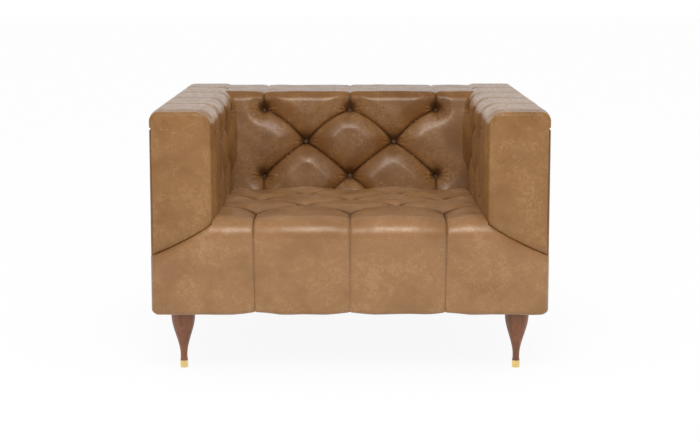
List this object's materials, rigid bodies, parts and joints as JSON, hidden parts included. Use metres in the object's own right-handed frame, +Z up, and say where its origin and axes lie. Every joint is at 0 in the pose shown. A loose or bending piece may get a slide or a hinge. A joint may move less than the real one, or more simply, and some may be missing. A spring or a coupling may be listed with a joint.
{
  "type": "tufted armchair",
  "caption": "Boxy tufted leather armchair with arms as high as its back, button-tufted inside, a tight tufted seat and turned wooden legs with brass feet.",
  "frame": {"origin": "on the floor, below the middle of the chair's bounding box", "axes": "+X to the sitter's left, +Y from the front of the seat to the back, +Z up"},
  "size_m": [1.066, 0.936, 0.72],
  "materials": {
    "leather": "waxed, semi-gloss, mottled",
    "button_leather": "waxed, semi-gloss",
    "leg_wood": "satin varnish",
    "ferrule_brass": "polished",
    "frame_wood": "sawn",
    "plywood": "sanded",
    "foam": "open cell",
    "wadding": "fibre sheet",
    "burlap": "coarse weave",
    "webbing": "woven strap",
    "twine": "waxed",
    "dust_cloth": "thin non-woven cloth",
    "spring_steel": "oiled",
    "zinc_steel": "zinc plated"
  },
  "bodies": {
    "root": {"arm_tack_rails": "frame_wood", "back_buttons": "button_leather", "back_foam": "foam", "back_rail": "frame_wood", "back_side_boards": "plywood", "back_tack_rail": "frame_wood", "border_foam": "foam", "burlap": "burlap", "button_twines": "twine", "dust_cover": "dust_cloth", "facing_pads": "wadding", "front_rail": "frame_wood", "front_top_rail": "frame_wood", "inside_back_cover": "leather", "left_arm_board": "plywood", "left_arm_buttons": "button_leather", "left_arm_cover": "leather", "left_arm_facing": "leather", "left_arm_foam": "foam", "left_arm_posts": "frame_wood", "left_arm_top_board": "plywood", "left_front_ferrule": "ferrule_brass", "left_front_leg": "leg_wood", "left_inner_border_panel": "leather", "left_outer_border_panel": "leather", "left_outside_arm_cover": "leather", "left_rear_ferrule": "ferrule_brass", "left_rear_leg": "leg_wood", "left_side_rail": "frame_wood", "leg_blocks": "frame_wood", "leg_bolts": "zinc_steel", "leg_tee_nuts": "zinc_steel", "outside_back_cover": "leather", "outside_wadding": "wadding", "rail_dowels": "frame_wood", "rear_top_rail": "frame_wood", "right_arm_board": "plywood", "right_arm_buttons": "button_leather", "right_arm_cover": "leather", "right_arm_facing": "leather", "right_arm_foam": "foam", "right_arm_posts": "frame_wood", "right_arm_top_board": "plywood", "right_front_ferrule": "ferrule_brass", "right_front_leg": "leg_wood", "right_inner_border_panel": "leather", "right_outer_border_panel": "leather", "right_outside_arm_cover": "leather", "right_rear_ferrule": "ferrule_brass", "right_rear_leg": "leg_wood", "right_side_rail": "frame_wood", "seat_buttons": "button_leather", "seat_cover": "leather", "seat_foam": "foam", "seat_springs": "spring_steel", "spring_clips": "spring_steel", "spring_rail": "frame_wood", "twine_toggles": "frame_wood", "webbing": "webbing"}
  },
  "joints": []
}
